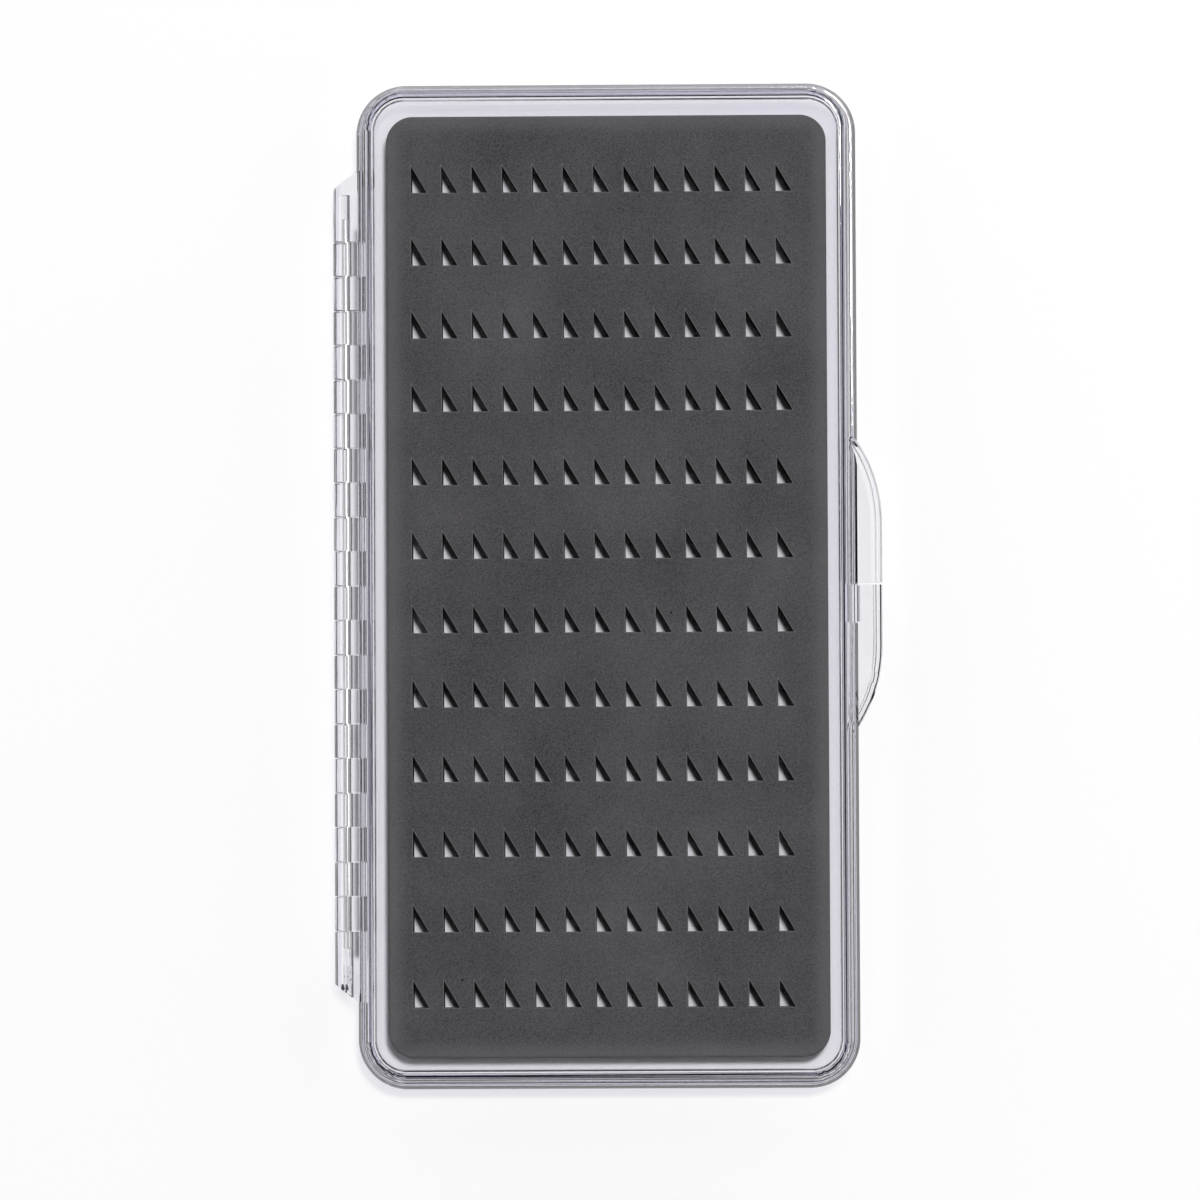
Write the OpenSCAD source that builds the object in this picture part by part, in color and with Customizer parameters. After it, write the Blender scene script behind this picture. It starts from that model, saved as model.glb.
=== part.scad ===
// Slim clear fly box that lies flat: two like moulded halves turn on one steel pin, and the
// base holds a grey foam pad with rows of three-cornered slots that the hooks sit in.
// Millimetres, +Z up. The hinge is on the -X side and the thumb tabs are on the +X side.
// The origin is under the centre of the whole outline, on the plane that the box rests on.

/* [Case] */
// Width of the case, without hinge and tabs
body_w = 91.6; // [84:0.1:110]
// Length of the case
body_l = 184; // [150:0.5:220]
// Depth of each half, from its flat face to the parting plane
half_h = 8; // [7.5:0.1:12]
// Corner radius of the rim, seen from above
corner_r = 9.1; // [7:0.1:12]
// Thickness of the roof and of the floor
plate_t = 1.6; // [1:0.1:2]
// Thickness of the side walls at the parting plane
wall_t = 1.85; // [1.6:0.05:2.4]
// How far the outer face of a wall leans in from the rim to the flat face
draft_out = 0.65; // [0.1:0.05:0.8]
// How far the inner face of a wall leans in from the rim to the flat face
draft_in = 0.05; // [0:0.05:0.4]
// Radius of the long outer edge round the flat face
face_edge_r = 1.4; // [0.3:0.05:1.6]
// Radius of the long inner edge round the flat face
inner_edge_r = 0.9; // [0.1:0.05:1.2]

/* [Rim] */
// Width of the rim outside the walls, at the parting plane
ledge_w = 1.05; // [1:0.05:1.6]
// Height of the rim on each half
rim_h = 2; // [1.8:0.05:2.6]
// How far the outer face of the rim leans in from the parting plane to its ledge
rim_lean = 0.65; // [0.1:0.05:0.7]
// Radius of the outer edge of the rim's ledge
rim_edge_r = 0.4; // [0.1:0.05:0.45]
// Radius where the ledge meets the wall
rim_foot_r = 0.05; // [0.02:0.01:0.1]
// Radius of the rim's edge at the parting plane
parting_edge_r = 0.05; // [0.02:0.01:0.15]
// Height of the base's lip above the parting plane
lip_h = 0.8; // [0.6:0.05:1.4]
// Thickness of the lip
lip_t = 0.75; // [0.6:0.05:1]
// Clearance between the lip and the lid
lip_clear = 0.2; // [0.1:0.01:0.3]

/* [Hinge] */
// Diameter of the hinge pin
pin_d = 1.5; // [1.2:0.05:2]
// Radial clearance of the pin in the knuckles
pin_clear = 0.05; // [0.02:0.01:0.08]
// Outer radius of the knuckles
knuckle_r = 2.3; // [2:0.05:2.6]
// Chamfer round the ends of the knuckles
knuckle_chamfer = 0.2; // [0.05:0.05:0.4]
// Distance from the case to the pin axis
hinge_off = 2; // [1.7:0.05:2.3]
// Number of knuckles on both halves together, always even
knuckle_n = 22; // [12:2:30]
// Length of the knuckle at each end
end_knuckle_l = 9.6; // [7:0.1:14]
// Distance from each end of the case to the end of the hinge
hinge_inset = 19.3; // [17:0.1:40]
// Length of the slanted wing past each end knuckle
wing_l = 3.4; // [1.5:0.1:4.5]
// Gap between neighbouring knuckles
knuckle_gap = 0.16; // [0.1:0.01:0.3]
// Clearance round the knuckles in the other half's rim
knuckle_clear = 0.15; // [0.1:0.01:0.25]
// Depth of the web that joins a knuckle to its rim
web_h = 2.3; // [1.6:0.05:2.3]
// Wall left past the blind end of the pin hole
blind_wall = 0.9; // [0.5:0.1:2]
// Length of the plug that closes the mouth of the pin hole
plug_l = 3.3; // [1.5:0.1:5]
// Gap between the plug and the hole that it is welded into
plug_clear = 0.02; // [0.01:0.01:0.05]
// Air left in the pin hole at its blind end
pin_air_blind = 4.3; // [0.5:0.1:6]
// Air left in the pin hole at the plug
pin_air_plug = 3.1; // [0.5:0.1:6]

/* [Thumb tabs] */
// How far the tabs stand out from the case
tab_reach = 4.5; // [3:0.1:8]
// Depth of a tab, from the parting plane
tab_h = 3.4; // [2.7:0.1:4.5]
// Length of the straight outer edge of a tab
tab_straight = 11.4; // [6:0.1:20]
// Radius of the long curve back to the case
tab_sweep_r = 26.8; // [20:0.1:40]
// Width of the raised border along a tab's outer edge
tab_border_w = 1.25; // [1.15:0.05:1.7]
// How far the outer face of a tab leans in from the parting plane
tab_lean = 0.4; // [0:0.05:0.45]
// Radius of the hollow where the border meets the tab's floor
tab_hollow_r = 1; // [0.2:0.05:1.1]
// Thickness of the tab's floor
tab_floor_t = 1.6; // [1.2:0.05:2.2]
// Radius of the long edges of the border
tab_edge_r = 0.35; // [0.1:0.05:0.4]
// Gap between the two tabs
tab_split = 0.3; // [0.2:0.05:1]

/* [Catch] */
// Length of the catch lug along the rim
lug_l = 6.6; // [4:0.1:10]
// Thickness of the catch lug
lug_t = 1.6; // [1.3:0.05:1.7]
// How far the catch lug stands out past the rim
lug_proud = 0.35; // [0.2:0.05:0.5]
// Clearance round the catch lug in the lid's rim
lug_clear = 0.2; // [0.1:0.05:0.3]

/* [Foam pad] */
// Thickness of the foam
foam_t = 5; // [3:0.1:5.2]
// Thickness of the adhesive film under the foam
film_t = 0.2; // [0.1:0.05:0.4]
// Gap between the foam's long edges and the foot of the walls
foam_gap_x = 2.45; // [1.3:0.05:6]
// Gap between the foam's short edges and the foot of the walls
foam_gap_y = 2.65; // [1.3:0.05:6]
// Corner radius of the foam
foam_r = 4.9; // [2:0.1:8]
// Width of a slot
slot_w = 2.85; // [2:0.05:4]
// Height of a slot
slot_h = 4.8; // [3:0.1:6]
// Distance from one column of slots to the next
slot_pitch_x = 5.58; // [4.8:0.01:9]
// Mean distance from one row of slots to the next
slot_pitch_y = 13.59; // [12:0.01:20]
// How much wider each such distance is than the next one towards +Y
slot_pitch_step = 0.04; // [0:0.01:0.1]
// Distance from the foam's long edge to the first column
slot_margin_x = 4.6; // [2:0.1:10]
// Least distance from the foam's short edges to the slots
slot_margin_y = 9; // [6.5:0.1:20]
// Length of the fine slit above each slot
slit_l = 5; // [2:0.1:6]
// Width of the fine slit
slit_w = 0.12; // [0.08:0.01:0.3]

/* [Hidden] */
$fn = 96;
clear_colour = [0.86, 0.86, 0.9, 0.45];
steel_colour = [0.78, 0.79, 0.8];
foam_colour = [0.3, 0.29, 0.3];
film_colour = [0.93, 0.92, 0.88, 0.4];
// Steps in one rounded edge of a section
edge_steps = 6;
// How far a piece runs into the moulding that it is one with
weld = 0.2;
// How far a cutter runs past what it cuts
past = 1;

// Where the walls, the lip and the rebate stand, measured in from the rim's outer face
wall_out_foot = ledge_w + draft_out;
wall_in = ledge_w + wall_t;
wall_in_foot = wall_in + draft_in;
// The section takes in the edge of the floor, almost to the centre of the corner
floor_join = corner_r - weld;
lip_out = wall_in - lip_t;
rebate_out = lip_out - lip_clear;

// The hinge and the tabs reach out by different lengths, so the case stands off the origin
hinge_reach = hinge_off + knuckle_r;
case_x = (hinge_reach - tab_reach) / 2;
pin_x = -body_w / 2 - hinge_off;
bore_r = pin_d / 2 + pin_clear;
hinge_l = body_l - 2 * hinge_inset;
knuckle_pitch = (hinge_l - 2 * end_knuckle_l) / (knuckle_n - 2);
pin_l = hinge_l - blind_wall - pin_air_blind - plug_l - pin_air_plug;

// The tab's outer face and root, and the angle that its long curve turns through to the wall
tab_x = body_w / 2 + tab_reach;
wall_draft_at_tab = draft_out * (tab_h - rim_h) / (half_h - rim_h);
tab_root_x = body_w / 2 - ledge_w - wall_draft_at_tab - weld;
sweep_angle = acos((tab_sweep_r - tab_x + tab_root_x) / tab_sweep_r);

// The pad fills the floor, less the gap, and takes as many slots as its size has room for
foam_w = body_w - 2 * (wall_in_foot + foam_gap_x);
foam_l = body_l - 2 * (wall_in_foot + foam_gap_y);
slot_cols = floor((foam_w - 2 * slot_margin_x - slot_w) / slot_pitch_x) + 1;
slot_rows = floor((foam_l - 2 * slot_margin_y - slot_h) / slot_pitch_y) + 1;
first_slot_x = -foam_w / 2 + slot_margin_x;
first_slot_y = -((slot_rows - 1) * slot_pitch_y + slot_h) / 2;

// The rows stand a little further apart towards -Y, and the first and last keep their places
function row_y(row) =
    first_slot_y + row * slot_pitch_y + slot_pitch_step * row * (slot_rows - 1 - row) / 2;

// ---- Shapes that repeat ----

function unit(v) = v / norm(v);
function flat(p) = [p.x, p.y];

// Points of the arc that rounds corner b, between a and c, with b's third number as its radius
function corner_arc(a, b, c) =
    let(
        to_a = unit(flat(a) - flat(b)),
        to_c = unit(flat(c) - flat(b)),
        half = acos(to_a * to_c) / 2,
        centre = flat(b) + unit(to_a + to_c) * b.z / sin(half),
        from = flat(b) + to_a * b.z / tan(half) - centre,
        turn = sign(cross(to_a, to_c)) * (180 - 2 * half)
    )
    b.z == 0 ? [flat(b)] :
    [for (i = [0 : edge_steps])
        let(t = -turn * i / edge_steps)
        centre + [from.x * cos(t) - from.y * sin(t), from.x * sin(t) + from.y * cos(t)]];

// An outline from its corners, each [x, y, radius]
function rounded(corners) =
    let(n = len(corners))
    [for (i = [0 : n - 1])
        each corner_arc(corners[(i + n - 1) % n], corners[i], corners[(i + 1) % n])];

// Runs a section, drawn in X and Z, along Y
module along_y(length) {
    rotate([90, 0, 0])
        linear_extrude(length, center = true)
            children();
}

// Runs a section round a rectangle with round corners; the section's x = 0 is the outer edge
module round_the_case() {
    for (side = [0 : 3]) {
        across = side % 2 == 0 ? body_w : body_l;
        length = side % 2 == 0 ? body_l : body_w;
        rotate([0, 0, 90 * side]) {
            translate([across / 2, 0, 0])
                along_y(length - 2 * corner_r)
                    children();
            translate([across / 2 - corner_r, length / 2 - corner_r, 0])
                rotate_extrude(angle = 90)
                    translate([corner_r, 0])
                        children();
        }
    }
}

// ---- The two halves, drawn as the base lies ----

// Section of the floor, wall and rim, up to the parting plane and the lip or the rebate
module wall_section(with_lip) {
    under_rim = half_h - rim_h;
    lip_top = half_h + lip_h;
    rebate_floor = half_h - lip_h - lip_clear;
    outer = [
        [-floor_join, 0, 0],
        [-wall_out_foot, 0, face_edge_r],
        [-ledge_w, under_rim, rim_foot_r],
        [-rim_lean, under_rim, rim_edge_r],
        [0, half_h, parting_edge_r]
    ];
    lip = [
        [-lip_out, half_h, 0],
        [-lip_out, lip_top, lip_t / 3],
        [-wall_in, lip_top, lip_t / 4]
    ];
    rebate = [
        [-rebate_out, half_h, 0],
        [-rebate_out, rebate_floor, 0],
        [-wall_in, rebate_floor, 0]
    ];
    inner = [
        [-wall_in_foot, plate_t, inner_edge_r],
        [-floor_join, plate_t, 0]
    ];
    polygon(rounded(concat(outer, with_lip ? lip : rebate, inner)));
}

module shell(with_lip) {
    round_the_case()
        wall_section(with_lip);
    translate([-body_w / 2 + floor_join, -body_l / 2 + floor_join, 0])
        cube([body_w - 2 * floor_join, body_l - 2 * floor_join, plate_t]);
}

// A round bar along the pin axis, from one y to another
module hinge_bar(radius, from, to) {
    translate([pin_x, to, half_h])
        rotate([90, 0, 0])
            cylinder(r = radius, h = to - from);
}

// One knuckle, with chamfered ends, and the web that joins it to the rim
module knuckle(from, to) {
    inner_r = knuckle_r - knuckle_chamfer;
    translate([pin_x, from, half_h])
        rotate([-90, 0, 0])
            rotate_extrude()
                polygon([
                    [0, 0],
                    [inner_r, 0],
                    [knuckle_r, knuckle_chamfer],
                    [knuckle_r, to - from - knuckle_chamfer],
                    [inner_r, to - from],
                    [0, to - from]
                ]);
    translate([pin_x, from, half_h - web_h])
        cube([hinge_off + knuckle_r / 2, to - from, web_h]);
}

// This half's knuckles are every second one, from the end knuckle at -Y
module knuckles() {
    start = -hinge_l / 2;
    difference() {
        knuckle(start - wing_l, start + end_knuckle_l - knuckle_gap / 2);
        // The wing's slant runs from the outer face of the hinge to the case
        translate([pin_x, start, 0])
            linear_extrude(2 * half_h)
                polygon([
                    [-knuckle_r - past, past * wing_l / hinge_reach],
                    [-knuckle_r - past, -wing_l - past],
                    [hinge_off, -wing_l - past],
                    [hinge_off, -wing_l]
                ]);
    }
    for (i = [1 : 2 : knuckle_n - 3]) {
        from = start + end_knuckle_l + i * knuckle_pitch;
        knuckle(from + knuckle_gap / 2, from + knuckle_pitch - knuckle_gap / 2);
    }
}

// Section of the raised border along a tab's outer edge, hollowed where it meets the floor
module border_section() {
    floor_x = -tab_border_w - tab_hollow_r;
    polygon(rounded([
        [-tab_border_w, half_h - tab_h, tab_edge_r],
        [-tab_lean, half_h - tab_h, tab_edge_r],
        [0, half_h, parting_edge_r],
        [floor_x, half_h, 0],
        [floor_x, half_h - tab_floor_t, 0],
        [-tab_border_w, half_h - tab_floor_t, tab_hollow_r]
    ]));
}

// The border runs from the split along the outer edge and back to the wall in a long curve
module tab_border() {
    end_y = -tab_split / 2;
    translate([tab_x, (end_y - tab_straight) / 2, 0])
        along_y(tab_straight + end_y)
            border_section();
    difference() {
        translate([tab_x - tab_sweep_r, -tab_straight, 0])
            mirror([0, 1, 0])
                rotate_extrude(angle = sweep_angle)
                    translate([tab_sweep_r, 0])
                        border_section();
        // The curve ends inside the wall
        translate([tab_root_x - tab_sweep_r, -tab_straight - tab_sweep_r, 0])
            cube([tab_sweep_r, tab_sweep_r, 2 * half_h]);
    }
}

// The thumb tab stands on the -Y side of the split: a border along a thinner floor
module thumb_tab() {
    inset = tab_border_w + tab_hollow_r - weld;
    tab_border();
    translate([0, 0, half_h - tab_floor_t])
        linear_extrude(tab_floor_t) {
            translate([tab_root_x, -tab_straight])
                square([tab_x - inset - tab_root_x, tab_straight - tab_split / 2]);
            intersection() {
                translate([tab_x - tab_sweep_r, -tab_straight])
                    circle(r = tab_sweep_r - inset);
                translate([tab_root_x, -tab_straight - tab_sweep_r])
                    square([tab_x - tab_root_x, tab_sweep_r]);
            }
        }
}

// The lug rises from the base's rim, beside the lid's tab, with its outer top edge rounded
module catch_lug() {
    outer_x = body_w / 2 + lug_proud;
    lug_end = -tab_split / 2 - lug_clear;
    translate([outer_x, lug_end - lug_l / 2, 0])
        along_y(lug_l)
            polygon(rounded([
                [-lug_t, half_h - weld, 0],
                [0, half_h - weld, 0],
                [0, half_h + rim_h - lug_clear, lug_t / 2],
                [-lug_t, half_h + rim_h - lug_clear, 0]
            ]));
}

// The gap in the lid's rim that the lug stands in; the lid is drawn turned over, so it is at +Y
module lug_gap() {
    inner_x = body_w / 2 + lug_proud - lug_t - lug_clear;
    translate([inner_x, tab_split / 2, half_h - rim_h - lug_clear])
        cube([lug_t + past, lug_l + 2 * lug_clear, rim_h + lug_clear + past]);
}

module half_moulding(is_base) {
    bore_start = is_base ? -hinge_l / 2 - wing_l - past : -hinge_l / 2 + blind_wall;
    difference() {
        union() {
            difference() {
                shell(is_base);
                hinge_bar(knuckle_r + knuckle_clear,
                    -hinge_l / 2 - wing_l, hinge_l / 2 + wing_l);
                if (!is_base) lug_gap();
            }
            knuckles();
            thumb_tab();
            if (is_base) catch_lug();
        }
        hinge_bar(bore_r, bore_start, hinge_l / 2 + past);
    }
}

// ---- Pieces ----

module base_tray() {
    color(clear_colour)
        translate([case_x, 0, 0])
            half_moulding(true);
}

// The lid is the same moulding turned over about X, with a rebate for the base's lip
module lid() {
    color(clear_colour)
        translate([case_x, 0, 2 * half_h])
            rotate([180, 0, 0])
                half_moulding(false);
}

module hinge_pin() {
    pin_end = hinge_l / 2 - blind_wall - pin_air_blind;
    color(steel_colour)
        translate([case_x, 0, 0])
            hinge_bar(pin_d / 2, pin_end - pin_l, pin_end);
}

module pin_plug() {
    color(clear_colour)
        translate([case_x, 0, 0])
            hinge_bar(bore_r - plug_clear, -hinge_l / 2, -hinge_l / 2 + plug_l);
}

// A slot is a right triangle with its upright on the left, and the slit runs on up from it
module slot() {
    polygon([
        [0, 0],
        [slot_w, 0],
        [slit_w, slot_h - slit_w * slot_h / slot_w],
        [slit_w, slot_h + slit_l],
        [0, slot_h + slit_l]
    ]);
}

module pad_outline() {
    square([foam_w - 2 * foam_r, foam_l], center = true);
    square([foam_w, foam_l - 2 * foam_r], center = true);
    for (x = [-1, 1], y = [-1, 1])
        translate([x * (foam_w / 2 - foam_r), y * (foam_l / 2 - foam_r)])
            circle(r = foam_r);
}

module pad(thickness) {
    linear_extrude(thickness)
        difference() {
            pad_outline();
            for (col = [0 : slot_cols - 1], row = [0 : slot_rows - 1])
                translate([first_slot_x + col * slot_pitch_x, row_y(row)])
                    slot();
        }
}

module slit_foam() {
    color(foam_colour)
        translate([case_x, 0, plate_t + film_t])
            pad(foam_t);
}

// The film is cut together with the foam
module foam_adhesive() {
    color(film_colour)
        translate([case_x, 0, plate_t])
            pad(film_t);
}

base_tray();
lid();
hinge_pin();
pin_plug();
slit_foam();
foam_adhesive();
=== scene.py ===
import math

import bmesh
import bpy
from mathutils import Matrix, Vector


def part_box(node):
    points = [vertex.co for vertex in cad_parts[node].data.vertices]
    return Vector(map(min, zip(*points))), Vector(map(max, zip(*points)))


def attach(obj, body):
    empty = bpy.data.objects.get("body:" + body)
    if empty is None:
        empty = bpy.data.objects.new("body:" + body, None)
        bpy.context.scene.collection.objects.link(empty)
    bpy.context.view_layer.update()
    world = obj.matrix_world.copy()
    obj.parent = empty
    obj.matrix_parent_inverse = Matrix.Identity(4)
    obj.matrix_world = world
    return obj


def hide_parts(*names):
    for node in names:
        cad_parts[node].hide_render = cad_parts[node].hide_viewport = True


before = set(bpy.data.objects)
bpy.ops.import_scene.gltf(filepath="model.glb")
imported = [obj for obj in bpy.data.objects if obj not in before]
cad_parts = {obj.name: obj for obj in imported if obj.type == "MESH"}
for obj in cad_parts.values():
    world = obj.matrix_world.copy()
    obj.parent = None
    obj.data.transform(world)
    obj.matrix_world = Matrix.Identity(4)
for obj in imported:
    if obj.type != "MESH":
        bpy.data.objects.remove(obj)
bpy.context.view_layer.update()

MM = 0.001

# ---- Sizes of the two clear halves, in millimetres, as the base lies ----

CASE_X = -0.1           # the case stands off the origin by this much
CASE_HALF_X, CASE_HALF_Y = 45.8, 92.0
HALF_H = 8.0            # from a flat face to the parting plane
CASE_CORNER = 9.1       # corner radius of the rim, seen from above
PLATE_T = 1.6
WALL_T = 1.85
DRAFT_OUT, DRAFT_IN = 0.65, 0.05
FACE_EDGE, INNER_EDGE = 1.4, 0.9
LEDGE_W, RIM_H, RIM_LEAN = 1.05, 2.0, 0.65
RIM_EDGE, RIM_FOOT, PARTING_EDGE = 0.4, 0.05, 0.05
LIP_H, LIP_T, LIP_CLEAR = 0.8, 0.75, 0.2
PARTING_GAP = 0.02      # the two halves stand apart by this much at the parting plane
KNUCKLE_R, KNUCKLE_EDGE, KNUCKLE_CLEAR = 2.3, 0.2, 0.15
KNUCKLE_FLAT = 1.8      # from the wire's axis to the flat on the knuckle's free side
FLAT_SLOPE = math.radians(30)
HINGE_OFF = 2.0         # from the case to the wire's axis
HINGE_HALF_L = 72.7
KNUCKLES = 22
END_KNUCKLE_L, KNUCKLE_PITCH, KNUCKLE_GAP = 9.6, 6.31, 0.16
WING_L, WING_EDGE = 3.4, 0.45
WEB_H = 2.3
BLIND_WALL = 0.9        # closes the bore at its far end
BORE_R = 0.8
TAB_REACH, TAB_H, TAB_STRAIGHT, TAB_SWEEP_R = 4.5, 3.4, 11.4, 26.8
TAB_BORDER_W, TAB_LEAN, TAB_HOLLOW, TAB_FLOOR_T, TAB_EDGE = 1.25, 0.4, 1.0, 1.6, 0.35
TAB_SPLIT = 0.3
LUG_L, LUG_T, LUG_PROUD, LUG_CLEAR = 6.6, 1.6, 0.35, 0.2
WELD = 0.2              # how far a piece runs into the moulding that it is one with
ARC_STEP = math.radians(6)
PIN_X = -CASE_HALF_X - HINGE_OFF
UNDER_RIM = HALF_H - RIM_H
PARTING = HALF_H - PARTING_GAP / 2
TAB_X = CASE_HALF_X + TAB_REACH
TAB_ROOT_X = CASE_HALF_X - LEDGE_W - DRAFT_OUT * (TAB_H - RIM_H) / UNDER_RIM - WELD

# ---- Sizes of what is cut and rounded, in millimetres ----

FILM_GAP = 0.01         # and the film stands this much off the floor and the foam
FOAM_CORNER = 4.9       # corner radius of the pad, seen from above
FOAM_EDGE = 0.55        # radius of the pad's upper edge
FOAM_FOOT_EDGE = 0.1    # radius of its lower edge
SLOT_W, SLOT_H = 2.85, 4.8
SLOT_COLUMNS, SLOT_ROWS = 13, 12
SLOT_PITCH_X, SLOT_PITCH_Y = 5.58, 13.59
SLOT_PITCH_STEP = 0.04  # the rows stand this much further apart from each to the next, towards -Y
SLOT_MARGIN_X = 4.6     # from the pad's long edge to the first column
SLOT_LIP = 0.16         # radius of the soft lip round a slot
CREASE_L = 5.0          # length of the closed slit above a slot
CREASE_W = 0.14         # width of the crease that the slit leaves in the foam's face
CREASE_DEPTH = 0.05
WIRE_D = 1.5
SAME_PLANE = math.radians(0.4)  # faces that turn less than this to each other are one flat
PLUG_BUBBLES = [        # place along the plug, across it and up, and radius
    (0.75, 0.25, 0.2, 0.22),
    (1.35, -0.3, 0.1, 0.14),
    (2.1, 0.1, -0.2, 0.17),
    (2.6, 0.35, 0.15, 0.1),
]


# ---- Mesh helpers ----

def finish_piece(name, bm, material, smooth_angle=35):
    """Makes the object of a bmesh, faces outward, smooth but for its sharp edges."""
    mesh = bpy.data.meshes.new(name)
    bm.to_mesh(mesh)
    bm.free()
    mesh.shade_smooth()
    keep_flats_flat(mesh, smooth_angle)
    piece = bpy.data.objects.new(name, mesh)
    bpy.context.scene.collection.objects.link(piece)
    mesh.materials.append(material)
    return piece


def connected(start, joins):
    """Every face that can be reached from one face over edges that pass the test."""
    found, waiting = {start}, [start]
    while waiting:
        for edge in waiting.pop().edges:
            if joins(edge):
                for face in edge.link_faces:
                    if face not in found:
                        found.add(face)
                        waiting.append(face)
    return found


def keep_flats_flat(mesh, smooth_angle):
    """Sets the normals so that flat faces stay flat, and the strips that round them off curve."""
    bm = bmesh.new()
    bm.from_mesh(mesh)
    limit = math.radians(smooth_angle)
    flats = {}
    for face in bm.faces:
        if face not in flats:
            plane = connected(face, lambda e: e.calc_face_angle(math.pi) < SAME_PLANE)
            size = sum(f.calc_area() for f in plane)
            flats.update((f, (id(plane), size, face.normal.copy())) for f in plane)
    normals = []
    for face in bm.faces:
        for corner in face.loops:
            vert = corner.vert
            fan = connected(
                face, lambda e: vert in e.verts and e.calc_face_angle(math.pi) < limit)
            planes = {flats[f][0]: flats[f] for f in fan}.values()
            largest = max(size for _, size, _ in planes) or 1.0
            total = face.normal * 1e-6
            for _, size, normal in planes:
                total += normal * (size / largest) ** 2
            normals.append(total.normalized())
    bm.free()
    mesh.normals_split_custom_set(normals)


def boundary_loop(bm, verts):
    """Edges that join the vertices round, in their order."""
    return [bm.edges.new((verts[i - 1], verts[i])) for i in range(len(verts))]


def round_outline(bm, half_x, half_y, radius, z, centre, corner_steps=12):
    """A rounded rectangle's edges: a circle whose quarters are moved out to the corners."""
    turn = Matrix.Rotation(math.pi / (4 * corner_steps), 4, "Z")
    circle = bmesh.ops.create_circle(bm, radius=radius, segments=4 * corner_steps, matrix=turn)
    for v in circle["verts"]:
        v.co.x += math.copysign(half_x - radius, v.co.x) + centre.x
        v.co.y += math.copysign(half_y - radius, v.co.y) + centre.y
        v.co.z = z
    return list({e for v in circle["verts"] for e in v.link_edges})


def grown(corners, by):
    """A polygon's corners, anticlockwise, with every side moved outward."""
    sides = []
    for i, a in enumerate(corners):
        along = (corners[(i + 1) % len(corners)] - a).normalized()
        out = Vector((along.y, -along.x))
        sides.append((a + out * by, along))
    moved = []
    for i, (p, d) in enumerate(sides):
        q, e = sides[i - 1]
        t = (p - q).cross(d) / e.cross(d)
        moved.append(q + e * t)
    return moved


def outline_edges(bm, corners, z):
    return boundary_loop(bm, [bm.verts.new((c.x, c.y, z)) for c in corners])


def row_y(row):
    """Foot of a row of slots, from the middle of the pad; row 0 is the one at -Y."""
    first = -((SLOT_ROWS - 1) * SLOT_PITCH_Y + SLOT_H) / 2
    spread = SLOT_PITCH_STEP * row * (SLOT_ROWS - 1 - row) / 2
    return first + row * SLOT_PITCH_Y + spread


def slot_feet(low, high):
    """The right-angled corner of every slot."""
    centre_y = (low.y + high.y) / 2
    for row in range(SLOT_ROWS):
        for column in range(SLOT_COLUMNS):
            x = low.x + (SLOT_MARGIN_X + column * SLOT_PITCH_X) * MM
            yield Vector((x, centre_y + row_y(row) * MM))


def bridged(bm, loops):
    for lower, upper in zip(loops, loops[1:]):
        bmesh.ops.bridge_loops(bm, edges=lower + upper)


def cut_pad(low, high, corner, edge, foot_edge, lip, creased):
    """A flat pad with round corners, rounded edges and a three-cornered hole for every slot."""
    bm = bmesh.new()
    cut = bm.faces.layers.float.new("slot_lip_highlight")
    centre = (low + high) / 2
    half = (high - low) / 2
    steps = 5
    loops = []
    for i in range(steps + 1):
        angle = math.pi / 2 * i / steps
        inset = foot_edge * (1 - math.sin(angle))
        z = low.z + foot_edge * (1 - math.cos(angle))
        loops.append(round_outline(bm, half.x - inset, half.y - inset, corner - inset, z, centre))
    for i in range(steps + 1):
        angle = math.pi / 2 * i / steps
        inset = edge * (1 - math.cos(angle))
        z = high.z - edge * (1 - math.sin(angle))
        loops.append(round_outline(bm, half.x - inset, half.y - inset, corner - inset, z, centre))
    bridged(bm, loops)
    bottom, top = list(loops[0]), list(loops[-1])

    triangle = [Vector((0, 0)), Vector((SLOT_W, 0)), Vector((0, SLOT_H))]
    for foot in slot_feet(low, high):
        hole = []
        for grow, z in (
            (0, low.z),
            (0, high.z - lip),
            (lip * 0.12, high.z - lip * 0.5),
            (lip * 0.4, high.z - lip * 0.16),
            (lip, high.z),
        ):
            corners = [foot + c * MM for c in triangle]
            hole.append(outline_edges(bm, grown(corners, grow), z))
        bridged(bm, hole)
        # The lip faces round each slot's top are marked for a painted highlight in the foam's
        # colour
        for e in hole[-1]:
            for f in e.link_faces:
                f[cut] = 1.0
        bottom += hole[0]
        top += hole[-1]
        if creased:
            start = foot + Vector((0, SLOT_H + 0.55)) * MM
            size = Vector((CREASE_W, CREASE_L)) * MM
            corners = [
                start,
                start + Vector((size.x, 0)),
                start + size,
                start + Vector((0, size.y)),
            ]
            rim = outline_edges(bm, corners, high.z)
            line = outline_edges(bm, grown(corners, -0.47 * size.x), high.z - CREASE_DEPTH * MM)
            bridged(bm, [rim, line])
            bmesh.ops.triangle_fill(bm, edges=line, use_beauty=True)
            top += rim
    bmesh.ops.triangle_fill(bm, edges=bottom, use_beauty=True, normal=(0, 0, -1))
    bmesh.ops.triangle_fill(bm, edges=top, use_beauty=True, normal=(0, 0, 1))
    bmesh.ops.recalc_face_normals(bm, faces=bm.faces)
    return bm


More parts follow.
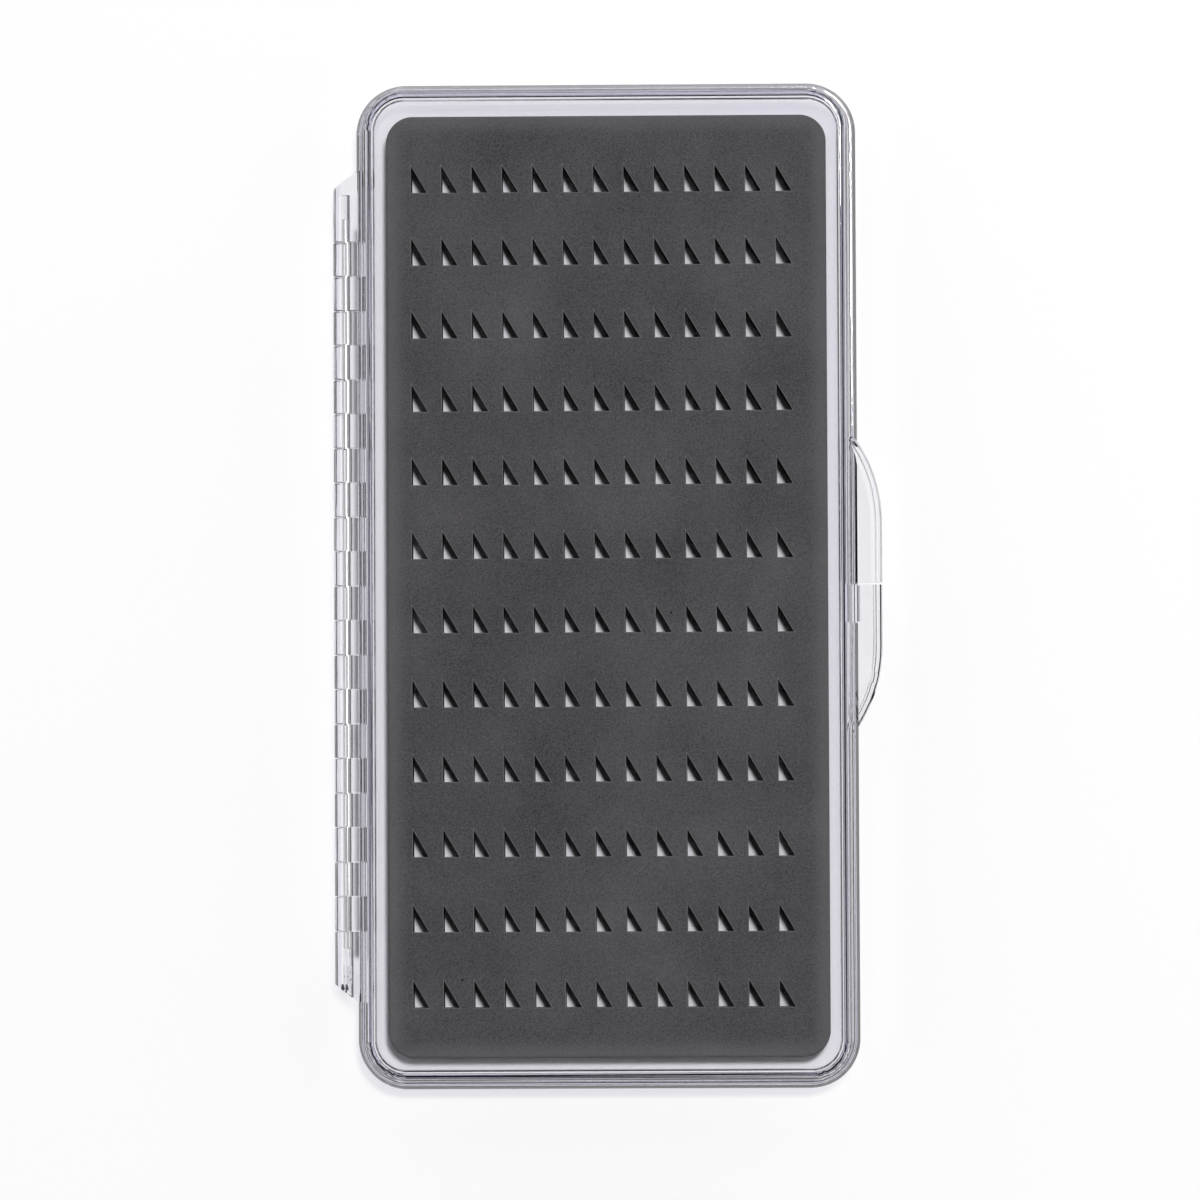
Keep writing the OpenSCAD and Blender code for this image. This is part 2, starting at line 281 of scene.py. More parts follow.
def rounded(corners, closed=False):
    """A section from its corners, each (across, up, radius), with arcs at the corners."""
    points = []
    for i, (x, z, radius) in enumerate(corners):
        b = Vector((x, z))
        if radius == 0 or not closed and i in (0, len(corners) - 1):
            points.append(b)
            continue
        to_a = (Vector(corners[i - 1][:2]) - b).normalized()
        to_c = (Vector(corners[(i + 1) % len(corners)][:2]) - b).normalized()
        half = to_a.angle(to_c) / 2
        centre = b + (to_a + to_c).normalized() * radius / math.sin(half)
        arm = b + to_a * radius / math.tan(half) - centre
        turn = math.copysign(math.pi - 2 * half, -to_a.cross(to_c))
        steps = max(2, math.ceil(abs(turn) / ARC_STEP))
        for k in range(steps + 1):
            points.append(centre + Matrix.Rotation(turn * k / steps, 2) @ arm)
    return points


def filled(bm, edges):
    bmesh.ops.edgeloop_fill(bm, edges=edges)


def moved_on(bm, edges, by):
    """Draws a ring of edges out along a line, and gives the ring at the far end."""
    made = bmesh.ops.extrude_edge_only(bm, edges=edges)["geom"]
    verts = {g for g in made if isinstance(g, bmesh.types.BMVert)}
    bmesh.ops.translate(bm, verts=list(verts), vec=by)
    return [g for g in made if isinstance(g, bmesh.types.BMEdge) and verts.issuperset(g.verts)]


def turned_on(bm, edges, centre, angle):
    """Draws a ring of edges round an upright axis, and gives the ring at the far end."""
    steps = max(2, math.ceil(abs(angle) / math.radians(4)))
    made = bmesh.ops.spin(bm, geom=edges, cent=centre, axis=(0, 0, 1), angle=angle, steps=steps)
    return [g for g in made["geom_last"] if isinstance(g, bmesh.types.BMEdge)]


def block(bm, low, high):
    low, high = Vector(low), Vector(high)
    place = Matrix.Translation((low + high) / 2) @ Matrix.Diagonal(high - low).to_4x4()
    bmesh.ops.create_cube(bm, size=1, matrix=place)


def hinge_bar(bm, radius, start, end, edge=0.0, flat=False):
    """A round bar on the wire's axis, from one y to another, with a flat to the free side."""
    if flat:
        bar = bmesh.new()
        hinge_bar(bar, radius, start, end, edge)
        lean = Vector((math.sin(FLAT_SLOPE), 0, math.cos(FLAT_SLOPE)))
        cut = bmesh.ops.bisect_plane(
            bar, geom=bar.verts[:] + bar.edges[:] + bar.faces[:], clear_outer=True,
            plane_co=Vector((PIN_X, start, HALF_H)) + lean * KNUCKLE_FLAT, plane_no=lean)
        edges = [g for g in cut["geom_cut"] if isinstance(g, bmesh.types.BMEdge)]
        bmesh.ops.holes_fill(bar, edges=edges)
        mesh = bpy.data.meshes.new("working")
        bar.to_mesh(mesh)
        bar.free()
        bm.from_mesh(mesh)
        bpy.data.meshes.remove(mesh)
        return
    place = Matrix.Translation((PIN_X, (start + end) / 2, HALF_H))
    made = bmesh.ops.create_cone(
        bm, cap_ends=True, segments=72, radius1=radius, radius2=radius, depth=end - start,
        matrix=place @ Matrix.Rotation(math.pi / 2, 4, "X"))["verts"]
    if edge:
        ends = {e for v in made for e in v.link_edges
                if abs(e.verts[0].co.y - e.verts[1].co.y) < edge}
        bmesh.ops.bevel(bm, geom=list(ends), offset=edge, segments=4, profile=0.5,
                        affect="EDGES", material=-1)


def combined(bm, other, operation):
    """The union or the difference of two sets of closed forms."""
    holders = []
    for part in (bm, other):
        bmesh.ops.recalc_face_normals(part, faces=part.faces)
        mesh = bpy.data.meshes.new("working")
        part.to_mesh(mesh)
        part.free()
        holders.append(bpy.data.objects.new("working", mesh))
        bpy.context.scene.collection.objects.link(holders[-1])
    step = holders[0].modifiers.new("join", "BOOLEAN")
    step.object = holders[1]
    step.operation = operation
    step.solver = "EXACT"
    step.use_self = True
    result = bmesh.new()
    result.from_object(holders[0], bpy.context.evaluated_depsgraph_get())
    for holder in holders:
        mesh = holder.data
        bpy.data.objects.remove(holder)
        bpy.data.meshes.remove(mesh)
    return result


def case_shell(with_lip):
    """Floor, walls and rim: rounded outlines up the section from the floor's underside."""
    wall_foot = LEDGE_W + DRAFT_OUT
    wall_in = LEDGE_W + WALL_T
    lip_out = wall_in - LIP_T
    lip = [
        (lip_out, PARTING, 0),
        (lip_out, HALF_H + LIP_H, LIP_T / 3),
        (wall_in, HALF_H + LIP_H, LIP_T / 4),
    ]
    rebate = [
        (lip_out - LIP_CLEAR, PARTING, 0),
        (lip_out - LIP_CLEAR, HALF_H - LIP_H - LIP_CLEAR, 0),
        (wall_in, HALF_H - LIP_H - LIP_CLEAR, 0),
    ]
    section = rounded([
        (wall_foot + 2 * FACE_EDGE, 0, 0),
        (wall_foot, 0, FACE_EDGE),
        (LEDGE_W, UNDER_RIM, RIM_FOOT),
        (RIM_LEAN, UNDER_RIM, RIM_EDGE),
        (0, PARTING, PARTING_EDGE),
        *(lip if with_lip else rebate),
        (wall_in + DRAFT_IN, PLATE_T, INNER_EDGE),
        (wall_in + DRAFT_IN + 2 * INNER_EDGE, PLATE_T, 0),
    ])
    bm = bmesh.new()
    inset, z = section[0]
    ring = round_outline(bm, CASE_HALF_X - inset, CASE_HALF_Y - inset, CASE_CORNER - inset, z,
                         Vector((0, 0)), corner_steps=20)
    first = list(ring)
    corner = Vector((CASE_HALF_X - CASE_CORNER, CASE_HALF_Y - CASE_CORNER))
    for (inset, z), (next_inset, next_z) in zip(section, section[1:]):
        ring = moved_on(bm, ring, (0, 0, next_z - z))
        for v in {v for e in ring for v in e.verts}:
            centre = Vector((math.copysign(corner.x, v.co.x), math.copysign(corner.y, v.co.y)))
            v.co.xy -= (v.co.xy - centre).normalized() * (next_inset - inset)
    filled(bm, first)
    filled(bm, ring)
    return bm


def add_knuckles(bm):
    """This half's knuckles are every second one, from the end knuckle at -Y with its wing."""
    start = -HINGE_HALF_L
    web_x = PIN_X + HINGE_OFF + KNUCKLE_R / 2
    wing_end = start - WING_L
    first_end = start + END_KNUCKLE_L - KNUCKLE_GAP / 2
    wing = bmesh.new()
    hinge_bar(wing, KNUCKLE_R, wing_end, first_end, KNUCKLE_EDGE, flat=True)
    block(wing, (PIN_X, wing_end, HALF_H - WEB_H), (web_x, first_end, PARTING))
    slant = Vector((-WING_L, -HINGE_OFF - KNUCKLE_R, 0)).normalized()
    cut = bmesh.ops.bisect_plane(
        wing, geom=wing.verts[:] + wing.edges[:] + wing.faces[:], clear_outer=True,
        plane_co=(PIN_X - KNUCKLE_R, start, HALF_H), plane_no=slant)["geom_cut"]
    rims = [g for g in cut if isinstance(g, bmesh.types.BMEdge)]
    bmesh.ops.holes_fill(wing, edges=rims)
    mesh = bpy.data.meshes.new("working")
    wing.to_mesh(mesh)
    wing.free()
    bm.from_mesh(mesh)
    bpy.data.meshes.remove(mesh)
    for i in range(1, KNUCKLES - 2, 2):
        low = start + END_KNUCKLE_L + i * KNUCKLE_PITCH + KNUCKLE_GAP / 2
        high = low + KNUCKLE_PITCH - KNUCKLE_GAP
        hinge_bar(bm, KNUCKLE_R, low, high, KNUCKLE_EDGE, flat=True)
        block(bm, (PIN_X, low, HALF_H - WEB_H), (web_x, high, PARTING))


def add_tab(bm):
    """The thumb tab at -Y of the split: a raised border along a thinner floor."""
    floor_x = -TAB_BORDER_W - TAB_HOLLOW
    border = rounded([
        (-TAB_BORDER_W, HALF_H - TAB_H, TAB_EDGE),
        (-TAB_LEAN, HALF_H - TAB_H, TAB_EDGE),
        (0, PARTING, PARTING_EDGE),
        (floor_x, PARTING, 0),
        (floor_x, HALF_H - TAB_FLOOR_T, 0),
        (-TAB_BORDER_W, HALF_H - TAB_FLOOR_T, TAB_HOLLOW),
    ], closed=True)
    end_y = -TAB_SPLIT / 2
    part = bmesh.new()
    ring = boundary_loop(part, [part.verts.new((TAB_X + u, end_y, z)) for u, z in border])
    first = list(ring)
    ring = moved_on(part, ring, (0, -TAB_STRAIGHT - end_y, 0))
    sweep = math.acos((TAB_SWEEP_R - TAB_X + TAB_ROOT_X) / TAB_SWEEP_R)
    ring = turned_on(part, ring, (TAB_X - TAB_SWEEP_R, -TAB_STRAIGHT, 0), -sweep)
    filled(part, first)
    filled(part, ring)
    cut = bmesh.ops.bisect_plane(
        part, geom=part.verts[:] + part.edges[:] + part.faces[:], clear_inner=True,
        plane_co=(TAB_ROOT_X, 0, 0), plane_no=(1, 0, 0))["geom_cut"]
    bmesh.ops.holes_fill(part, edges=[g for g in cut if isinstance(g, bmesh.types.BMEdge)])

    x = TAB_X + floor_x + WELD
    radius = TAB_SWEEP_R + floor_x + WELD
    far = math.acos((TAB_ROOT_X - x + radius) / radius)
    plan = [(TAB_ROOT_X, end_y), (x, end_y)]
    for k in range(13):
        angle = far * k / 12
        plan.append((x - radius + radius * math.cos(angle),
                     -TAB_STRAIGHT - radius * math.sin(angle)))
    ring = boundary_loop(part, [part.verts.new((*p, HALF_H - TAB_FLOOR_T)) for p in plan])
    floor = list(ring)
    ring = moved_on(part, ring, (0, 0, TAB_FLOOR_T - PARTING_GAP / 2))
    filled(part, floor)
    filled(part, ring)
    mesh = bpy.data.meshes.new("working")
    part.to_mesh(mesh)
    part.free()
    bm.from_mesh(mesh)
    bpy.data.meshes.remove(mesh)


def add_lug(bm):
    """The catch lug rises from the base's rim, with its outer top edge rounded."""
    outer_x = CASE_HALF_X + LUG_PROUD
    top = HALF_H + RIM_H - LUG_CLEAR
    section = rounded([
        (outer_x - LUG_T, HALF_H - WELD, 0), (outer_x, HALF_H - WELD, 0),
        (outer_x, top, LUG_T / 2), (outer_x - LUG_T, top, 0)], closed=True)
    y = -TAB_SPLIT / 2 - LUG_CLEAR
    ring = boundary_loop(bm, [bm.verts.new((x, y, z)) for x, z in section])
    first = list(ring)
    ring = moved_on(bm, ring, (0, -LUG_L, 0))
    filled(bm, first)
    filled(bm, ring)


def clear_half(is_base):
    """One moulded half, drawn as the base lies; the lid is then turned over about X."""
    cuts = bmesh.new()
    reach = HINGE_HALF_L + WING_L
    hinge_bar(cuts, KNUCKLE_R + KNUCKLE_CLEAR, -reach, reach)
    if not is_base:
        inner = CASE_HALF_X + LUG_PROUD - LUG_T - LUG_CLEAR
        gap_l = LUG_L + 2 * LUG_CLEAR
        block(cuts, (inner, TAB_SPLIT / 2, UNDER_RIM - LUG_CLEAR),
              (TAB_X, TAB_SPLIT / 2 + gap_l, HALF_H + 1))
    bm = combined(case_shell(is_base), cuts, "DIFFERENCE")
    added = bmesh.new()
    add_knuckles(added)
    add_tab(added)
    if is_base:
        add_lug(added)
    bm = combined(bm, added, "UNION")
    bore = bmesh.new()
    start = -reach - 1 if is_base else -HINGE_HALF_L + BLIND_WALL
    hinge_bar(bore, BORE_R, start, HINGE_HALF_L + 1)
    bm = combined(bm, bore, "DIFFERENCE")
    if not is_base:
        over = Matrix.Translation((0, 0, 2 * HALF_H)) @ Matrix.Rotation(math.pi, 4, "X")
        bmesh.ops.transform(bm, matrix=over, verts=bm.verts)
    bmesh.ops.translate(bm, verts=bm.verts, vec=(CASE_X, 0, 0))
    bmesh.ops.scale(bm, verts=bm.verts, vec=(MM, MM, MM))
    bmesh.ops.dissolve_degenerate(bm, edges=bm.edges, dist=0.00001 * MM)
    return bm


# ---- Node helpers ----

def add(tree, kind, inputs=None, **settings):
    """A shader node with its settings, and its inputs as values or as sockets to link."""
    made = tree.nodes.new("ShaderNode" + kind)
    for setting, value in settings.items():
        setattr(made, setting, value)
    for name, value in (inputs or {}).items():
        if isinstance(value, bpy.types.NodeSocket):
            tree.links.new(value, made.inputs[name])
        else:
            made.inputs[name].default_value = value
    return made


def ramp(tree, source, stops):
    made = add(tree, "ValToRGB", {"Fac": source})
    elements = made.color_ramp.elements
    while len(elements) < len(stops):
        elements.new(0.5)
    for element, (place, colour) in zip(elements, stops):
        element.position = place
        element.color = colour if len(colour) == 4 else (*colour, 1)
    return made.outputs["Color"]


def grey(value):
    return (value, value, value, 1)


def new_group(name, inputs, outputs):
    """A shader node group; inputs are (name, kind, value) and outputs (name, kind)."""
    group = bpy.data.node_groups.new(name, "ShaderNodeTree")
    for label, kind, value in inputs:
        socket = group.interface.new_socket(
            name=label, in_out="INPUT", socket_type="NodeSocket" + kind)
        if value is not None:
            socket.default_value = value
    for label, kind in outputs:
        group.interface.new_socket(
            name=label, in_out="OUTPUT", socket_type="NodeSocket" + kind)
    return group, group.nodes.new("NodeGroupInput"), group.nodes.new("NodeGroupOutput")


def place_group(tree, group, inputs):
    made = tree.nodes.new("ShaderNodeGroup")
    made.node_tree = group
    for name, value in inputs.items():
        if isinstance(value, bpy.types.NodeSocket):
            tree.links.new(value, made.inputs[name])
        else:
            made.inputs[name].default_value = value
    return made


def make_handling_marks():
    """Fine rubs from handling: soft cloudy patches and short hair scratches."""
    group, given, made = new_group(
        "handling_marks",
        [("Vector", "Vector", None), ("Patch scale", "Float", 60.0),
         ("Scratch scale", "Float", 700.0), ("Low", "Float", 0.0), ("High", "Float", 0.05)],
        [("Roughness", "Float"), ("Height", "Float")],
    )
    patches = add(group, "TexNoise", {
        "Vector": given.outputs["Vector"], "Scale": given.outputs["Patch scale"],
        "Detail": 4.0, "Roughness": 0.55})
    stretched = add(group, "Mapping", {
        "Vector": given.outputs["Vector"], "Rotation": (0.0, 0.0, 0.7),
        "Scale": (1.0, 0.06, 1.0)})
    hairs = add(group, "TexNoise", {
        "Vector": stretched.outputs["Vector"], "Scale": given.outputs["Scratch scale"],
        "Detail": 2.0, "Roughness": 0.5})
    fine = add(group, "MapRange", {
        "Value": hairs.outputs["Fac"], "From Min": 0.6, "From Max": 0.78})
    mixed = add(group, "Math", {0: patches.outputs["Fac"], 1: fine.outputs["Result"]},
                operation="MULTIPLY")
    total = add(group, "Math", {0: patches.outputs["Fac"], 1: mixed.outputs["Value"]},
                operation="ADD")
    rough = add(group, "MapRange", {
        "Value": total.outputs["Value"], "From Min": 0.3, "From Max": 1.2,
        "To Min": given.outputs["Low"], "To Max": given.outputs["High"]})
    group.links.new(rough.outputs["Result"], made.inputs["Roughness"])
    group.links.new(mixed.outputs["Value"], made.inputs["Height"])
    return group


def make_mottle():
    """A colour that drifts between two tones over a coarse and a fine scale."""
    group, given, made = new_group(
        "mottle",
        [("Vector", "Vector", None), ("Coarse scale", "Float", 40.0),
         ("Fine scale", "Float", 900.0), ("Dark", "Color", grey(0.4)),
         ("Pale", "Color", grey(0.6))],
        [("Color", "Color"), ("Grain", "Float")],
    )
    coarse = add(group, "TexNoise", {
        "Vector": given.outputs["Vector"], "Scale": given.outputs["Coarse scale"],
        "Detail": 3.0, "Roughness": 0.5})
    fine = add(group, "TexNoise", {
        "Vector": given.outputs["Vector"], "Scale": given.outputs["Fine scale"],
        "Detail": 3.0, "Roughness": 0.65})
    both = add(group, "Mix", {0: 0.7, 2: coarse.outputs["Fac"], 3: fine.outputs["Fac"]})
    spread = add(group, "MapRange", {
        "Value": both.outputs[0], "From Min": 0.3, "From Max": 0.7})
    tone = add(group, "Mix", {
        0: spread.outputs["Result"], 6: given.outputs["Dark"], 7: given.outputs["Pale"]},
        data_type="RGBA")
    group.links.new(tone.outputs[2], made.inputs["Color"])
    group.links.new(fine.outputs["Fac"], made.inputs["Grain"])
    return group


HANDLING_MARKS = make_handling_marks()
MOTTLE = make_mottle()


def new_material(name):
    material = bpy.data.materials.new(name)
    material.use_nodes = True
    tree = material.node_tree
    shader = tree.nodes["Principled BSDF"]
    place = add(tree, "TexCoord").outputs["Object"]
    return material, tree, shader, place


def set_up(shader, **values):
    for name, value in values.items():
        shader.inputs[name.replace("_", " ")].default_value = value


def lets_lamps_through(tree, shader, share):
    """Lamps light what is behind the clear plastic, less what its faces throw back."""
    path = add(tree, "LightPath")
    passed = add(tree, "BsdfTransparent", {"Color": share})
    both = add(tree, "MixShader", {
        0: path.outputs["Is Shadow Ray"], 1: shader.outputs["BSDF"],
        2: passed.outputs["BSDF"]})
    tree.links.new(both.outputs["Shader"], tree.nodes["Material Output"].inputs["Surface"])


def clear_plastic(name, dark, pale, ior=1.57, depth=0.0):
    """Clear plastic; with a depth, long ways through it are tinted a cool lavender."""
    material, tree, shader, place = new_material(name)
    set_up(shader, Transmission_Weight=1.0, IOR=ior)
    tone = place_group(tree, MOTTLE, {
        "Vector": place, "Coarse scale": 25.0, "Fine scale": 400.0,
        "Dark": dark, "Pale": pale})
    marks = place_group(tree, HANDLING_MARKS, {
        "Vector": place, "Patch scale": 45.0, "Scratch scale": 900.0,
        "Low": 0.0, "High": 0.03})
    tree.links.new(tone.outputs["Color"], shader.inputs["Base Color"])
    tree.links.new(marks.outputs["Roughness"], shader.inputs["Roughness"])
    flow = add(tree, "TexNoise", {"Vector": place, "Scale": 30.0, "Detail": 0.0})
    ripple = add(tree, "Bump", {
        "Height": flow.outputs["Fac"], "Strength": 0.05, "Distance": 0.0001})
    tree.links.new(ripple.outputs["Normal"], shader.inputs["Normal"])
    lets_lamps_through(tree, shader, (0.955, 0.955, 0.957, 1))
    if depth:
        deep = add(tree, "VolumeAbsorption", {"Color": (0.32, 0.3, 0.8, 1), "Density": depth})
        tree.links.new(deep.outputs["Volume"], tree.nodes["Material Output"].inputs["Volume"])
    return material


def foam_material():
    material, tree, shader, place = new_material("grey_cell_foam")
    set_up(shader, Roughness=0.92)
    tone = place_group(tree, MOTTLE, {
        "Vector": place, "Coarse scale": 55.0, "Fine scale": 3200.0,
        "Dark": (0.033, 0.032, 0.033, 1), "Pale": (0.132, 0.128, 0.131, 1)})
    # The skin is painted paler near the pad's edges and corners: painted light, where more light
    # reaches them
    low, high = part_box("slit_foam")
    centred = add(tree, "VectorMath", {0: place, 1: (low + high) / 2}, operation="SUBTRACT")
    away = add(tree, "VectorMath", {0: centred.outputs["Vector"]}, operation="ABSOLUTE")
    inward = add(tree, "VectorMath", {
        0: (high - low) / 2, 1: away.outputs["Vector"]}, operation="SUBTRACT")
    sides = add(tree, "SeparateXYZ", {"Vector": inward.outputs["Vector"]})
    nearest = add(tree, "Math", {0: sides.outputs["X"], 1: sides.outputs["Y"]},
                  operation="SMOOTH_MIN")
    nearest.inputs[2].default_value = 3 * MM
    edge_light_mask = add(tree, "MapRange", {
        "Value": nearest.outputs["Value"], "From Min": 0.0, "From Max": 4.5 * MM,
        "To Min": 0.5, "To Max": 0.0}, interpolation_type="SMOOTHERSTEP")
    cells = add(tree, "TexVoronoi", {"Vector": place, "Scale": 260.0, "Randomness": 1.0})
    near = add(tree, "MapRange", {
        "Value": cells.outputs["Distance"], "From Min": 0.05, "From Max": 0.09})
    odd = add(tree, "SeparateColor", {"Color": cells.outputs["Color"]})
    rare = add(tree, "Math", {0: odd.outputs[0], 1: 0.985}, operation="LESS_THAN")
    pores = add(tree, "Math", {0: near.outputs["Result"], 1: rare.outputs["Value"]},
                operation="MAXIMUM")
    edge_lit = add(tree, "Mix", {
        0: edge_light_mask.outputs["Result"], 6: tone.outputs["Color"], 7: (0.155, 0.152, 0.158, 1)},
        data_type="RGBA")
    specked = add(tree, "Mix", {
        0: pores.outputs["Value"], 6: (0.02, 0.018, 0.02, 1), 7: edge_lit.outputs[2]},
        data_type="RGBA")
    # The slot lips get a paler colour: a painted highlight for the light that their rounded lips
    # catch
    cut = add(tree, "Attribute", attribute_name="slot_lip_highlight", attribute_type="GEOMETRY")
    lip_highlighted = add(tree, "Mix", {
        0: cut.outputs["Fac"], 6: specked.outputs[2], 7: (0.17, 0.163, 0.17, 1)},
        data_type="RGBA")
    # The cut faces are painted near-black from a quarter to nine tenths of a millimetre under the
    # skin: painted shade in the slots and on the pad's sides, which also lose their specular
    height = add(tree, "SeparateXYZ", {"Vector": place}).outputs["Z"]
    pad_wall_shade_mask = add(tree, "MapRange", {
        "Value": height, "From Min": high.z - 0.9 * MM, "From Max": high.z - 0.25 * MM})
    deep = add(tree, "Mix", {
        0: pad_wall_shade_mask.outputs["Result"], 6: (0.01, 0.0095, 0.0105, 1), 7: lip_highlighted.outputs[2]},
        data_type="RGBA")
    sheen = add(tree, "Math", {0: pad_wall_shade_mask.outputs["Result"], 1: 0.25}, operation="MULTIPLY")
    tree.links.new(sheen.outputs["Value"], shader.inputs["Specular IOR Level"])
    tree.links.new(deep.outputs[2], shader.inputs["Base Color"])
    felt = add(tree, "Bump", {
        "Height": tone.outputs["Grain"], "Strength": 0.35, "Distance": 0.0003})
    tree.links.new(felt.outputs["Normal"], shader.inputs["Normal"])
    return material


def wire_material():
    material, tree, shader, place = new_material("drawn_stainless_wire")
    set_up(shader, Metallic=0.55)
    tone = place_group(tree, MOTTLE, {
        "Vector": place, "Coarse scale": 80.0, "Fine scale": 1500.0,
        "Dark": (0.84, 0.84, 0.85, 1), "Pale": (0.95, 0.95, 0.95, 1)})
    tree.links.new(tone.outputs["Color"], shader.inputs["Base Color"])
    drawn = add(tree, "Mapping", {"Vector": place, "Scale": (1.0, 0.01, 1.0)})
    streaks = add(tree, "TexNoise", {
        "Vector": drawn.outputs["Vector"], "Scale": 6000.0, "Detail": 2.0})
    rough = add(tree, "MapRange", {
        "Value": streaks.outputs["Fac"], "To Min": 0.12, "To Max": 0.3})
    tree.links.new(rough.outputs["Result"], shader.inputs["Roughness"])
    lines = add(tree, "Bump", {
        "Height": streaks.outputs["Fac"], "Strength": 0.15, "Distance": 0.00005})
    tree.links.new(lines.outputs["Normal"], shader.inputs["Normal"])
    return material


# ---- Pieces ----

def make_pad(material):
    low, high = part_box("slit_foam")
    bm = cut_pad(low, high, FOAM_CORNER * MM, FOAM_EDGE * MM, FOAM_FOOT_EDGE * MM,
                 SLOT_LIP * MM, creased=True)
    pad = finish_piece("foam_pad", bm, material)
    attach(pad, "base")
    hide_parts("slit_foam")


def make_film(material):
    low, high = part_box("foam_adhesive")
    low.z += FILM_GAP * MM
    high.z -= FILM_GAP * MM
    fine = 0.02 * MM
    bm = cut_pad(low, high, FOAM_CORNER * MM, fine, fine, fine, creased=False)
    film = finish_piece("adhesive_film", bm, material)
    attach(film, "base")
    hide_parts("foam_adhesive")


def round_bar(name, node, radius, end_edge, material):
    """A round bar along Y in a CAD node's place, with rounded ends."""
    low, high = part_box(node)
    length = high.y - low.y
    centre = (low + high) / 2
    stand = Matrix.Translation(centre) @ Matrix.Rotation(math.pi / 2, 4, "X")
    bm = bmesh.new()
    bmesh.ops.create_cone(bm, cap_ends=True, segments=64, radius1=radius, radius2=radius,
                          depth=length, matrix=stand)
    ends = [e for e in bm.edges if abs(e.verts[0].co.y - e.verts[1].co.y) < length / 2]
    bmesh.ops.bevel(bm, geom=ends, offset=end_edge, segments=4, profile=0.5,
                    affect="EDGES", material=-1)
    return bm, low


def make_wire(material):
    bm, _ = round_bar("hinge_wire", "hinge_pin", WIRE_D / 2 * MM, 0.25 * MM, material)
    wire = finish_piece("hinge_wire", bm, material)
    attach(wire, "base")
    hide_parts("hinge_pin")


def make_plug(material):
    low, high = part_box("pin_plug")
    bm, low = round_bar("hinge_plug", "pin_plug", (high.x - low.x) / 2, 0.08 * MM, material)
    axis = Vector(((low.x + high.x) / 2, low.y, (low.z + high.z) / 2))
    outside = set(bm.faces)
    for along, across, up, radius in PLUG_BUBBLES:
        place = axis + Vector((across, along, up)) * MM
        bmesh.ops.create_icosphere(bm, subdivisions=3, radius=radius * MM,
                                   matrix=Matrix.Translation(place))
    bubbles = [f for f in bm.faces if f not in outside]
    bmesh.ops.reverse_faces(bm, faces=bubbles)
    plug = finish_piece("hinge_plug", bm, material)
    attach(plug, "base")
    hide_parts("pin_plug")


def make_shells(material):
    for name, node, is_base, body in (
        ("clear_base", "base_tray", True, "base"),
        ("clear_lid", "lid", False, "cover"),
    ):
        shell = finish_piece(name, clear_half(is_base), material, smooth_angle=28)
        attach(shell, body)
        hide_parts(node)


# ---- Studio ----

def make_camera():
    data = bpy.data.cameras.new("camera")
    data.sensor_width = 36
    data.lens = 208.7
    data.clip_start, data.clip_end = 0.05, 20
    camera = bpy.data.objects.new("camera", data)
    camera.location = (0.02128, -0.0594, 1.280)
    camera.rotation_euler = (math.radians(2.546), math.radians(1.037), math.radians(-0.248))
    bpy.context.scene.collection.objects.link(camera)
    bpy.context.scene.camera = camera


def shows_to_camera(tree):
    """1 for rays from the camera, and for those that come by way of glass or metal."""
    path = add(tree, "LightPath")
    seen = add(tree, "Math", {
        0: path.outputs["Is Camera Ray"], 1: path.outputs["Is Glossy Ray"]},
        operation="MAXIMUM")
    return add(tree, "Math", {
        0: seen.outputs["Value"], 1: path.outputs["Is Transmission Ray"]},
        operation="MAXIMUM").outputs["Value"]


def make_floor():
    bm = bmesh.new()
    bmesh.ops.create_grid(bm, x_segments=1, y_segments=1, size=3.0,
                          matrix=Matrix.Translation((0, 0, -0.0001)))
    material = bpy.data.materials.new("white_table")
    material.use_nodes = True
    tree = material.node_tree
    tree.nodes.remove(tree.nodes["Principled BSDF"])
    tone = add(tree, "Mix", {
        0: shows_to_camera(tree), 6: grey(0.7), 7: grey(0.97)}, data_type="RGBA")
    matt = add(tree, "BsdfDiffuse", {"Color": tone.outputs[2]})
    tree.links.new(matt.outputs["BSDF"], tree.nodes["Material Output"].inputs["Surface"])
    floor = finish_piece("table_top", bm, material)


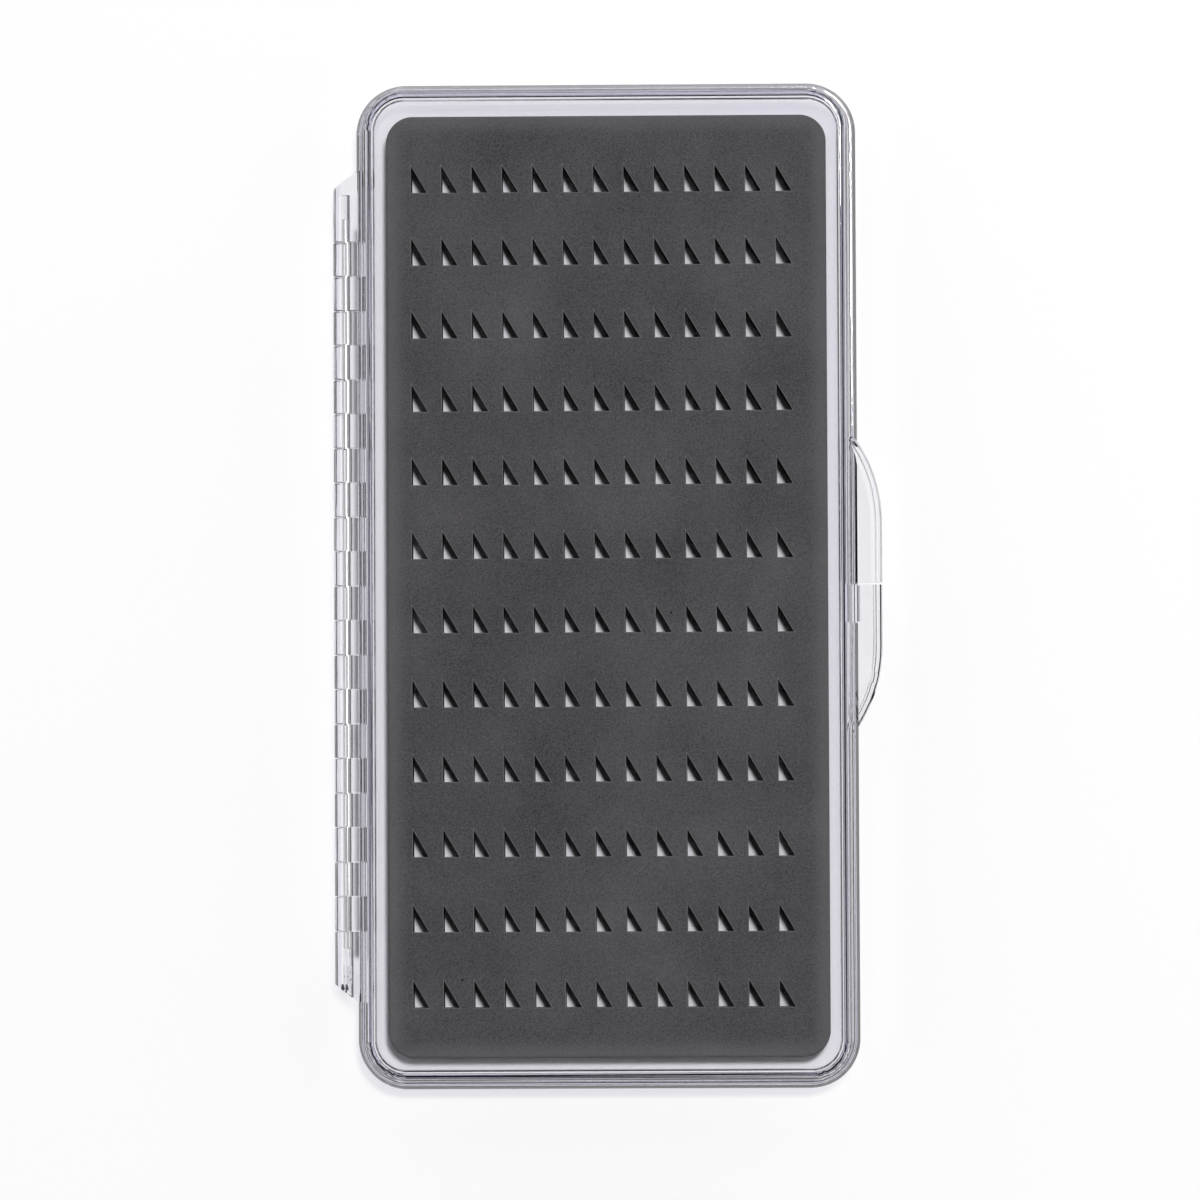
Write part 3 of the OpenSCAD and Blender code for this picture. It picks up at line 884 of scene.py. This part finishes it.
def make_world():
    world = bpy.data.worlds.new("studio")
    world.use_nodes = True
    world.cycles.sampling_method = "NONE"
    tree = world.node_tree
    back = tree.nodes["Background"]
    way = add(tree, "SeparateXYZ", {"Vector": add(tree, "TexCoord").outputs["Generated"]})
    room = ramp(tree, way.outputs["Z"], [
        (0.0, (0.28, 0.27, 0.31)), (0.1, (0.65, 0.64, 0.69)), (0.25, (0.95, 0.94, 0.99)),
        (0.45, (0.14, 0.135, 0.155)), (0.65, (0.05, 0.048, 0.056)), (0.82, (0.2, 0.195, 0.21)),
        (0.95, (0.06, 0.058, 0.062)), (1.0, (0.0, 0.0, 0.0))])
    # The window is behind the box, and the sides of the room are paler than its front
    side = add(tree, "Math", {0: way.outputs["X"]}, operation="ABSOLUTE")
    beside = add(tree, "MapRange", {
        "Value": side.outputs["Value"], "From Min": 0.25, "From Max": 0.8, "To Max": 0.32})
    behind = add(tree, "MapRange", {
        "Value": way.outputs["Y"], "From Min": -0.7, "From Max": 0.6, "To Min": 0.3,
        "To Max": 1.15})
    lit = add(tree, "VectorMath", {0: room, "Scale": behind.outputs["Result"]},
              operation="SCALE")
    room = add(tree, "VectorMath", {0: lit.outputs["Vector"], 1: beside.outputs["Result"]},
               operation="MAXIMUM").outputs["Vector"]
    camera_sees = add(tree, "LightPath").outputs["Is Camera Ray"]
    sky = add(tree, "Mix", {0: camera_sees, 6: room, 7: grey(1.0)}, data_type="RGBA")
    tree.links.new(sky.outputs[2], back.inputs["Color"])
    bpy.context.scene.world = world


def make_lamp(name, place, aim, size, watts, through_glass):
    data = bpy.data.lights.new(name, "AREA")
    data.shape = "DISK"
    data.size = size
    data.energy = watts
    lamp = bpy.data.objects.new(name, data)
    lamp.location = place
    lamp.rotation_euler = (Vector(place) - Vector(aim)).to_track_quat("Z", "Y").to_euler()
    lamp.visible_transmission = through_glass
    bpy.context.scene.collection.objects.link(lamp)


def make_studio():
    make_world()
    make_floor()
    # It stands just clear of what the lid's flat face mirrors to the camera
    place = Vector((0.11, 0.18, 1.0)).normalized() * 3.0
    make_lamp("key", place, (0, 0, 0), 0.4, 75.5, False)


make_camera()
clear = clear_plastic("clear_polystyrene", (0.972, 0.97, 0.975, 1), (0.992, 0.99, 0.993, 1),
                      depth=13.0)
film = clear_plastic("clear_adhesive", (0.93, 0.92, 0.9, 1), (0.97, 0.965, 0.95, 1), ior=1.47)
make_shells(clear)
make_plug(clear)
make_pad(foam_material())
make_film(film)
make_wire(wire_material())
make_studio()

scene = bpy.context.scene
scene.view_settings.view_transform = "Standard"
scene.cycles.max_bounces = 18
scene.cycles.transmission_bounces = 18
scene.cycles.transparent_max_bounces = 24
scene.cycles.blur_glossy = 0
